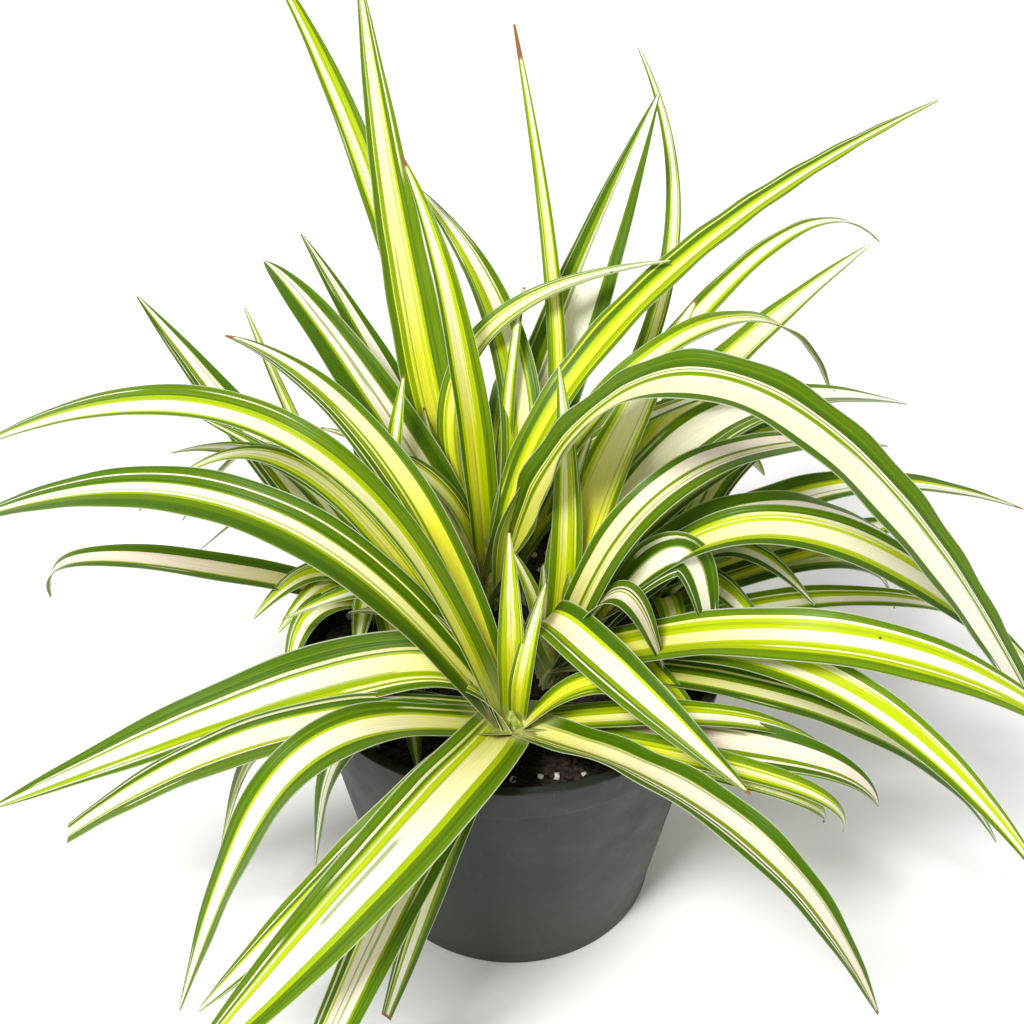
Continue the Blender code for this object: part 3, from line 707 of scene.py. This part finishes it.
def neck_tree(place, radius):
    """A rough shell round a shoot's crown."""
    ring = [2 * math.pi * i / NECK_SIDES for i in range(NECK_SIDES)]
    size = radius * MM + MM
    verts = []
    for height in (SOIL_TOP - MM, SOIL_TOP + NECK_RISE + MM):
        verts += [
            Vector((place[0] * MM + size * math.cos(a), place[1] * MM + size * math.sin(a), height))
            for a in ring
        ]
    faces = [(i, (i + 1) % NECK_SIDES, NECK_SIDES + i) for i in range(NECK_SIDES)]
    faces += [
        ((i + 1) % NECK_SIDES, NECK_SIDES + (i + 1) % NECK_SIDES, NECK_SIDES + i)
        for i in range(NECK_SIDES)
    ]
    faces.append(tuple(range(NECK_SIDES, 2 * NECK_SIDES)))
    return BVHTree.FromPolygons(verts, faces)


def outer_tree(verts, faces, segments):
    """The part of a blade beyond the crowded start, where leaves of one shoot also part."""
    first = 6 * math.ceil(segments * CROWDED)
    return BVHTree.FromPolygons(verts, [face for face in faces if min(face) >= first])


def bend_cost(bend):
    return sum(weight * abs(amount) for weight, amount in zip(BEND_WEIGHTS, bend))


def settle_leaves():
    """Places the broad leaves first, and bends each later one clear of the other shoots."""
    bends = list(itertools.product(MIDDLES_BACK, TIPS_BACK, SWINGS, LIFTS, BOWS))
    bends.sort(key=bend_cost)
    waiting = []
    for name, (place, _) in SHOOT_PLACES.items():
        rows = [*LEAF_ROWS[name], *far_side_rows(name)]
        waiting += [(name, place, row, number) for number, row in enumerate(rows)]
    waiting.sort(key=lambda item: -item[2][5])
    trees = {name: [neck_tree(place, radius)] for name, (place, radius) in SHOOT_PLACES.items()}
    outer = {name: [] for name in SHOOT_PLACES}
    settled = []
    for name, place, row, number in waiting:
        others = [tree for other in SHOOT_PLACES if other != name for tree in trees[other]]
        chosen = None
        for bend in bends:
            cost = bend_cost(bend)
            if chosen and cost > chosen[0]:
                break
            curve = leaf_curve(place, row, bend)
            segments = segment_count(curve)
            verts, faces = spare_blade(curve, row, segments)
            if not clear_of_pot(verts, segments):
                continue
            tree = BVHTree.FromPolygons(verts, faces)
            if any(tree.overlap(other) for other in others):
                continue
            end = outer_tree(verts, faces, segments)
            cost += TOUCH_WEIGHT * sum(1 for other in outer[name] if end.overlap(other))
            if not chosen or cost < chosen[0]:
                chosen = (cost, tree, end, (name, number, curve, row))
        trees[name].append(chosen[1])
        outer[name].append(chosen[2])
        settled.append(chosen[3])
    return settled


# Marks of the leaves that show most. Across a leaf, -1 is its right margin and 1 its left, as
# seen from the crown. First come the edges of the main cream band and of a second, narrow one,
# then how yellow a young leaf is, how dark its green is, and the widths of its dark margins.
MARKS = {
    ("shoot_front", 0): (-0.62, -0.02, 0.45, 0.52, 1.0, 0.85, 0.4, 0.4),
    ("shoot_front", 1): (-0.04, 0.66, 0.9, 0.5, 0.3, 0.8, 0.15, 0.45),
    ("shoot_front", 2): (-0.28, 0.14, -0.68, -0.62, 0.2, 0.8, 0.5, 0.45),
    ("shoot_front", 3): (-0.3, 0.3, 0.66, 0.74, 0.15, 0.7, 0.24, 0.42),
    ("shoot_front", 4): (-0.28, 0.36, -0.5, -0.44, 0.1, 0.75, 0.3, 0.3),
    ("shoot_front", 5): (-0.5, 0.35, 0.9, 0.5, 0.1, 0.75, 0.35, 0.25),
    ("shoot_front", 7): (-0.42, 0.5, -0.74, -0.68, 0.1, 0.65, 0.3, 0.3),
    ("shoot_front", 8): (-0.45, 0.22, 0.9, 0.5, 0.1, 0.9, 0.4, 0.3),
    ("shoot_front", 9): (-0.55, 0.1, 0.9, 0.5, 0.05, 0.8, 0.45, 0.25),
    ("shoot_front", 17): (-0.24, 0.52, -0.56, -0.44, 0.05, 0.95, 0.34, 0.3),
    ("shoot_front", 18): (-0.2, 0.52, -0.52, -0.42, 0.05, 0.85, 0.3, 0.4),
    ("shoot_front", 19): (-0.1, 0.5, 0.9, 0.5, 1.0, 0.5, 0.25, 0.35),
    ("shoot_front", 22): (-0.3, 0.3, 0.9, 0.5, 1.0, 0.2, 0.2, 0.2),
    ("shoot_middle", 0): (-0.28, 0.7, -0.55, -0.5, 0.2, 0.85, 0.2, 0.5),
    ("shoot_middle", 1): (0.2, 0.72, -0.38, -0.05, 0.08, 0.8, 0.2, 0.45),
    ("shoot_middle", 2): (-0.6, 0.4, 0.55, 0.6, 1.0, 0.45, 0.3, 0.2),
    ("shoot_middle", 3): (-0.5, 0.2, 0.9, 0.5, 0.2, 0.8, 0.35, 0.25),
    ("shoot_middle", 5): (-0.5, 0.45, 0.9, 0.5, 0.1, 0.9, 0.35, 0.35),
    ("shoot_middle", 6): (-0.1, 0.32, 0.66, 0.76, 0.3, 0.55, 0.22, 0.3),
    ("shoot_middle", 7): (-0.42, 0.0, 0.6, 0.66, 0.3, 0.55, 0.25, 0.3),
    ("shoot_middle", 8): (-0.35, 0.15, 0.9, 0.5, 0.4, 1.0, 0.45, 0.35),
    ("shoot_middle", 9): (-0.3, 0.4, -0.66, -0.58, 0.05, 0.8, 0.3, 0.35),
    ("shoot_middle", 16): (-0.6, 0.6, 0.9, 0.5, 1.0, 0.3, 0.15, 0.15),
    ("shoot_middle", 20): (-0.35, 0.35, 0.9, 0.5, 0.25, 1.0, 0.4, 0.4),
    ("shoot_middle", 21): (-0.4, 0.2, 0.5, 0.55, 0.05, 1.0, 0.4, 0.35),
    ("shoot_back", 0): (-0.3, 0.42, 0.62, 0.66, 1.0, 0.6, 0.2, 0.4),
    ("shoot_back", 1): (0.05, 0.5, 0.9, 0.5, 0.5, 0.5, 0.25, 0.3),
    ("shoot_back", 2): (-0.1, 0.55, 0.9, 0.5, 1.0, 0.45, 0.2, 0.35),
    ("shoot_back", 5): (-0.5, 0.45, 0.9, 0.5, 0.15, 0.85, 0.25, 0.4),
    ("shoot_back", 7): (-0.25, 0.15, 0.9, 0.5, 0.95, 0.6, 0.4, 0.2),
    ("shoot_back", 8): (-0.3, 0.45, 0.9, 0.5, 0.45, 0.5, 0.3, 0.25),
    ("shoot_back", 9): (-0.35, 0.3, 0.9, 0.5, 0.5, 0.5, 0.3, 0.3),
    ("shoot_back", 10): (-0.68, 0.2, 0.42, 0.48, 0.3, 0.9, 0.4, 0.2),
    ("shoot_back", 11): (-0.5, 0.12, 0.9, 0.5, 0.1, 1.0, 0.5, 0.3),
    ("shoot_back", 12): (-0.55, 0.0, 0.9, 0.5, 0.1, 1.0, 0.5, 0.3),
    ("shoot_left", 0): (-0.5, 0.3, 0.9, 0.5, 0.0, 1.0, 0.4, 0.35),
    ("shoot_left", 1): (-0.5, 0.15, 0.9, 0.5, 0.1, 1.0, 0.4, 0.3),
    ("shoot_right", 1): (-0.2, 0.5, 0.9, 0.5, 0.5, 0.6, 0.25, 0.3),
}
# Tips that have dried, as a share of the leaf's length.
DRY_TIPS = {
    ("shoot_front", 0): 0.03,
    ("shoot_front", 2): 0.015,
    ("shoot_front", 20): 0.1,
    ("shoot_middle", 3): 0.03,
    ("shoot_middle", 9): 0.015,
    ("shoot_back", 2): 0.03,
    ("shoot_back", 4): 0.06,
    ("shoot_right", 3): 0.04,
    ("shoot_right", 4): 0.05,
}
ACROSS = 14
STEP_ALONG = 3.6 * MM
MIDRIB = 0.75 * MM
MARGIN = 0.3 * MM
THINNING = 0.35
WAVE_LENGTHS = (26, 46)
WAVE_SIZES = (0.012, 0.03)
SWAY = 0.05
BASE_FOLD = 0.16
CLASP_STEPS = 5
CLASP_DEPTH = 3 * MM
CLASP_OUT = 0.7
BASE_FLARE = 0.35


def store(mesh, name, values):
    layer = mesh.attributes.new(name, "FLOAT_VECTOR", "POINT")
    layer.data.foreach_set("vector", [part for value in values for part in value])


def clasping_base(first, second, node, heading):
    """Stations from just under the compost up the crown's side to the start of the blade."""
    (px, py), neck = SHOOT_PLACES[node]
    _, point, wide, face, full = first
    tangent = (second[1] - point).normalized()
    out = Vector((math.cos(heading), math.sin(heading), 0.0))
    lean = max(0.0, tangent.dot(out))
    foot = Vector((px * MM, py * MM, SOIL_TOP)) + out * neck * MM * (CLASP_OUT - 0.35 + 0.3 * lean)
    foot.z -= CLASP_DEPTH
    handle = point - tangent * 5 * MM
    made = []
    for i in range(CLASP_STEPS):
        t = i / CLASP_STEPS
        here = (1 - t) ** 2 * foot + 2 * t * (1 - t) * handle + t * t * point
        along = (2 * (1 - t) * (handle - foot) + 2 * t * (point - handle)).normalized()
        across = (wide - along * wide.dot(along)).normalized()
        size = full * t + (1 - t) * max(full, 1.25 * neck * MM)
        made.append((0.0, here, across, along.cross(across), size))
    return made


def leaf_piece(name, curve, row, marks, draw, node):
    """One fine closed blade, with where each point lies on it and the leaf's marks kept on the mesh."""
    length = stations(curve, row, 40)[1]
    steps = max(16, round(length / STEP_ALONG))
    wave_long, wave_start = draw.uniform(*WAVE_LENGTHS) * MM, draw.uniform(0, 6.3)
    wave_size, sway = draw.uniform(*WAVE_SIZES), draw.uniform(-SWAY, SWAY)
    line = stations(curve, row, steps)[0]
    line = clasping_base(line[0], line[1], node, curve[4]) + line
    verts, places, faces = [], [], []
    for v, point, wide, face, full in line:
        rise = CHANNEL * full * (1.6 - v)
        thin = 1 - THINNING * v
        calm = min(1.0, v / 0.15)
        full *= 1 + BASE_FLARE * max(0.0, 1 - v / 0.25) ** 2
        fold = BASE_FOLD * full * (1 - calm) ** 2
        for j in range(ACROSS + 1):
            u = 2 * j / ACROSS - 1
            phase = 2 * math.pi * v * length / wave_long + wave_start
            ripple = math.sin(phase) if u > 0 else math.sin(phase * 0.83 + 2)
            wave = wave_size * full * calm * ripple * u * u
            lift = rise * abs(u) ** 1.25 + wave + sway * full * u * abs(u) * calm + fold * abs(u)
            thick = (MARGIN + (MIDRIB - MARGIN) * (1 - abs(u) ** 1.5)) * thin
            base = point + wide * (full / 2 * u) + face * lift
            verts += [base + face * thick / 2, base - face * thick / 2]
            places += [(u, v, 0.0), (u, v, 1.0)]
    ring = 2 * (ACROSS + 1)
    steps = len(line) - 1
    for i in range(steps):
        a, b = i * ring, (i + 1) * ring
        for j in range(ACROSS):
            p, q = 2 * j, 2 * j + 2
            faces.append((a + p, a + q, b + q, b + p))
            faces.append((a + p + 1, b + p + 1, b + q + 1, a + q + 1))
        faces.append((a, b, b + 1, a + 1))
        faces.append((a + ring - 2, a + ring - 1, b + ring - 1, b + ring - 2))
    last = steps * ring
    for j in range(ACROSS):
        p, q = 2 * j, 2 * j + 2
        faces.append((p, p + 1, q + 1, q))
        faces.append((last + p, last + q, last + q + 1, last + p + 1))
    mesh = bpy.data.meshes.new(name)
    mesh.from_pydata(verts, [], faces)
    mesh.shade_smooth()
    mesh.set_sharp_from_angle(angle=math.radians(55))
    low, high, low_2, high_2, age, depth, left, right, dry = marks
    count = len(verts)
    seed = draw.uniform(0, 40)
    store(mesh, "leaf_place", places)
    store(mesh, "cream_band", [(low, high, seed)] * count)
    store(mesh, "second_band", [(low_2, high_2, dry)] * count)
    store(mesh, "leaf_age", [(age, depth, row[5] / 2)] * count)
    store(mesh, "dark_margins", [(left, right, length)] * count)
    return placed(name, mesh)


leaves = []
draw = random.Random(23)
for node, number, curve, row in sorted(settle_leaves(), key=lambda leaf: (leaf[0], leaf[1])):
    middle, half = draw.uniform(-0.2, 0.2), draw.uniform(0.2, 0.36)
    side = draw.choice((-1, 1))
    second = side * draw.uniform(0.55, 0.7)
    marks = (
        middle - half, middle + half, second - 0.04, second + 0.04 * draw.choice((-1, 1)),
        draw.uniform(0.1, 0.5), draw.uniform(0.5, 1.0), draw.uniform(0.2, 0.4), draw.uniform(0.2, 0.4),
    )
    if row[5] < 12:
        marks = (*marks[:4], draw.uniform(0.7, 1.0), draw.uniform(0.3, 0.7), *marks[6:])
    marks = MARKS.get((node, number), marks)
    dry = DRY_TIPS.get((node, number), draw.choice((0.0, 0.0, 0.0, 0.012)))
    leaves.append((leaf_piece(f"{node}_leaf_{number + 1:02d}", curve, row, (*marks, dry), draw, node), node))

# Living leaf blade: a smooth waxy skin over green tissue, clear cream where the tissue has no
# green. Light passes a little way into it. Fine parallel veins run its whole length.
CREAM = "#f8f4e6"
OLD_CREAM = "#ead6c4"
YELLOW = "#ebe83c"
GREENS = ("#bccc08", "#779405", "#446503")
# The underside's own duller green, mixed with a painted sheen of sky reflection.
UNDERSIDE_AND_SHEEN = "#8fa365"
BASE_PALE = "#dcd98e"
DRY_TIP = "#8f6238"
SPECK = "#7a5526"
WAVER = 0.14
BROAD_STRIPES = 3.0
FINE_STRIPES = 13.0
MARGIN_SPREAD = 1.5
FIBRES_PER_MM = 2.2
VEIN_SPACING_MM = 0.9
SPECK_SPACING = 11.76 * MM
blade_skin, add, shader = new_material("living_leaf_blade")
kept = [
    add("SeparateXYZ", [add("Attribute", attribute_name=name).outputs["Vector"]]).outputs
    for name in ("leaf_place", "cream_band", "second_band", "leaf_age", "dark_margins")
]
(across, along, under), (low, high, seed), (low_2, high_2, dry) = kept[:3]
(age, depth, half_width), (left, right, _) = kept[3:]

# The bands waver a little along the blade.
drift = add("CombineXYZ", [add("Math", [along, 4.0], operation="MULTIPLY"), seed, 0.0])
waver = add("TexNoise", {"Vector": drift, "Scale": 1.0, "Detail": 2.0})
waver = add("Math", [waver, 0.5], operation="SUBTRACT")
u = add("Math", [waver, WAVER, across], operation="MULTIPLY_ADD")
width_mm = add("Math", [u, half_width], operation="MULTIPLY")

# Two sets of random lengthwise stripes, broad and fine. The fine ones start and stop.
stripes = []
for shift, count in ((17.3, BROAD_STRIPES), (31.7, FINE_STRIPES)):
    spread = add("Math", [u, count], operation="MULTIPLY")
    at = add("Math", [seed, shift, spread], operation="MULTIPLY_ADD")
    cells = add("TexVoronoi", {"W": at, "Scale": 1.0}, voronoi_dimensions="1D")
    stripes.append(add("SeparateColor", [cells.outputs["Color"]]).outputs[0])
broad, fine = stripes
ends = [add("Math", [part, rate], operation="MULTIPLY") for part, rate in ((along, 3.0), (fine, 50.0))]
ends = add("TexNoise", {"Vector": add("CombineXYZ", [*ends, seed]), "Scale": 1.0, "Detail": 1.0})
ends = add("Math", [ends, 0.5], operation="SUBTRACT")
fine = add("Math", [ends, 0.35, fine], operation="MULTIPLY_ADD")

# How far inside a cream band a point lies, below zero outside both. A few fine stripes of
# green cross the cream, and a few of cream cross the green.
insides = []
for start, end in ((low, high), (low_2, high_2)):
    after = add("Math", [u, start], operation="SUBTRACT")
    before = add("Math", [end, u], operation="SUBTRACT")
    insides.append(add("Math", [after, before], operation="MINIMUM"))
inside = add("Math", insides, operation="MAXIMUM")
cream = add("MapRange", [inside, -0.012, 0.02], interpolation_type="SMOOTHSTEP")
green_lines = add("MapRange", [fine, 0.93, 0.95, 1.0, 0.3], interpolation_type="SMOOTHSTEP")
cream = add("Math", [cream, green_lines], operation="MULTIPLY")
cream_lines = add("MapRange", [fine, 0.07, 0.05, 0.0, 0.75], interpolation_type="SMOOTHSTEP")
off_rim = add("Math", [u], operation="ABSOLUTE")
off_rim = add("MapRange", [off_rim, 0.9, 0.85], interpolation_type="SMOOTHSTEP")
cream_lines = add("Math", [cream_lines, off_rim], operation="MULTIPLY")
cream = add("Math", [cream, cream_lines], operation="MAXIMUM")

# The green is lime in the middle, next to the cream, and dark in the two margins.
flipped = add("Math", [0.0, u], operation="SUBTRACT")
margins = [
    add("Math", [width, MARGIN_SPREAD, at], operation="MULTIPLY_ADD")
    for width, at in ((left, u), (right, flipped))
]
margin = add("Math", margins, operation="MAXIMUM")
margin = add("MapRange", [margin, 0.97, 1.04], interpolation_type="SMOOTHSTEP")
level = add("Math", [margin, 0.55, 0.12], operation="MULTIPLY_ADD")
contrast = add("Math", [margin, -0.2, 0.42], operation="MULTIPLY_ADD")
for part, middle, weight in ((broad, 0.5, contrast), (fine, 0.5, 0.22), (depth, 0.6, 0.55)):
    part = add("Math", [part, middle], operation="SUBTRACT")
    level = add("Math", [part, weight, level], operation="MULTIPLY_ADD")
greens = add("ValToRGB", [level])
set_stops(greens, GREENS, (0.05, 0.42, 0.9))

# The cream is yellow on young leaves and near every base, and pinkish on old ones.
young = add("MapRange", [along, 1.0, 0.25], interpolation_type="SMOOTHSTEP")
young = add("Math", [age, young], operation="MULTIPLY")
near_base = add("MapRange", [along, 0.5, 0.0, 0.0, 0.7], interpolation_type="SMOOTHSTEP")
yellowed = add("Math", [young, near_base], operation="ADD")
old = add("MapRange", [age, 0.16, 0.04, 0.0, 0.8], interpolation_type="SMOOTHSTEP")
pale = add("Mix", [old, linear(CREAM), linear(OLD_CREAM)], data_type="RGBA")
pale = add("Mix", [yellowed, pale, linear(YELLOW)], data_type="RGBA")
colour = add("Mix", [cream, greens, pale], data_type="RGBA")

# Fibres shade the blade lengthwise.
fibre_at = [
    add("Math", [part, rate], operation="MULTIPLY")
    for part, rate in ((width_mm, FIBRES_PER_MM), (along, 9.0))
]
fibres = add("TexNoise", {"Vector": add("CombineXYZ", [*fibre_at, seed]), "Scale": 1.0, "Detail": 3.0})
shade = add("MapRange", [fibres, 0.25, 0.75, 0.92, 1.05], interpolation_type="SMOOTHSTEP")
colour = add("Mix", [1.0, colour, shade], data_type="RGBA", blend_type="MULTIPLY")

# The thin rim and the base are pale, and the rim's pallor is painted light shining through the thin margin.
# The underside is a duller grey-green, partly its own colour and partly a painted sheen of sky reflection.
# Some tips have dried, and a few brown specks lie here and there.
# Painted light: the thin margin is made pale cream as if lit through.
rim = add("Math", [across], operation="ABSOLUTE")
rim = add("MapRange", [rim, 0.955, 0.985, 0.0, 0.4], interpolation_type="SMOOTHSTEP")
base = add("MapRange", [along, 0.1, 0.0, 0.0, 0.7], interpolation_type="SMOOTHSTEP")
# Painted sky-reflection sheen on the underside, together with its own duller colour.
underside_and_sheen = add("Math", [under, 0.3], operation="MULTIPLY")
dried = add("Math", [along, dry], operation="ADD")
dried = add("Math", [fibres, 0.02, dried], operation="MULTIPLY_ADD")
dried = add("MapRange", [dried, 1.006, 1.016], interpolation_type="SMOOTHSTEP")
has_dried = add("MapRange", [dry, 0.0, 0.01], interpolation_type="SMOOTHSTEP")
dried = add("Math", [dried, has_dried], operation="MULTIPLY")
specks = add("TexVoronoi", {"Vector": add("NewGeometry"), "Scale": 1 / SPECK_SPACING})
chosen = add("SeparateColor", [specks.outputs["Color"]]).outputs[0]
chosen = add("MapRange", [chosen, 0.93, 0.94], interpolation_type="SMOOTHSTEP")
spotted = add("MapRange", [specks.outputs["Distance"], 0.06, 0.035], interpolation_type="SMOOTHSTEP")
spotted = add("Math", [spotted, chosen], operation="MULTIPLY")
for share, code in ((rim, CREAM), (base, BASE_PALE), (underside_and_sheen, UNDERSIDE_AND_SHEEN), (dried, DRY_TIP), (spotted, SPECK)):
    colour = add("Mix", [share, colour, linear(code)], data_type="RGBA")

gloss = add("MapRange", [fibres, 0.3, 0.7, 0.32, 0.44], interpolation_type="SMOOTHSTEP")
veins = add("Math", [width_mm, 2 * math.pi / VEIN_SPACING_MM], operation="MULTIPLY")
veins = add("Math", [veins], operation="SINE")
relief = add("Math", [veins, 0.35, fibres], operation="MULTIPLY_ADD")
feed(shader, {
    "Base Color": colour,
    "Roughness": add("Math", [under, 0.18, gloss], operation="MULTIPLY_ADD"),
    "Normal": add("Bump", {"Height": relief, "Strength": 0.35, "Distance": 0.2 * MM}),
    "IOR": 1.42,
    "Specular IOR Level": 0.2,
    "Subsurface Weight": 0.25,
    "Subsurface Radius": (0.8, 1.0, 0.25),
    "Subsurface Scale": 1.2 * MM,
})
for piece, node in leaves:
    piece.data.materials.append(blade_skin)
    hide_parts(node)
    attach(piece, "root")

# Studio: a pale matt floor, a white surround and one broad soft light from above.
FLOOR_SIZE = 12.0
PALE = "#f3f3f1"
SURROUND_LIGHT = 0.6
KEY_LIGHT = 3.3
KEY_SPREAD = math.radians(18)
KEY_TILT = (math.radians(28), math.radians(-22), 0.0)
bpy.ops.mesh.primitive_plane_add(size=FLOOR_SIZE)
floor = bpy.context.object
floor.name = "studio_floor"
paper, _, shader = new_material("matt_paper")
feed(shader, {"Base Color": linear(PALE), "Roughness": 0.9})
floor.data.materials.append(paper)

surround = bpy.data.worlds.new("white_surround")
bpy.context.scene.world = surround
surround.use_nodes = True
feed(surround.node_tree.nodes["Background"], {"Color": (1.0, 1.0, 1.0, 1.0), "Strength": SURROUND_LIGHT})

key = bpy.data.lights.new("soft_key", "SUN")
key.energy = KEY_LIGHT
key.angle = KEY_SPREAD
placed("soft_key", key).rotation_euler = KEY_TILT

# The camera looks down on the plant from the front, as the photograph does.
CAMERA_AIM = Vector((0.0, 0.0, 0.170))
CAMERA_RISE = math.radians(39)
CAMERA_DISTANCE = 0.610
camera = bpy.data.cameras.new("camera")
camera.lens = 65
camera.sensor_width = 36
camera.clip_start = 0.01
camera_piece = placed("camera", camera)
away = Vector((0.0, -math.cos(CAMERA_RISE), math.sin(CAMERA_RISE)))
camera_piece.location = CAMERA_AIM + away * CAMERA_DISTANCE
camera_piece.rotation_euler = (math.radians(90) - CAMERA_RISE, 0.0, 0.0)
bpy.context.scene.camera = camera_piece
bpy.context.scene.view_settings.view_transform = "Standard"
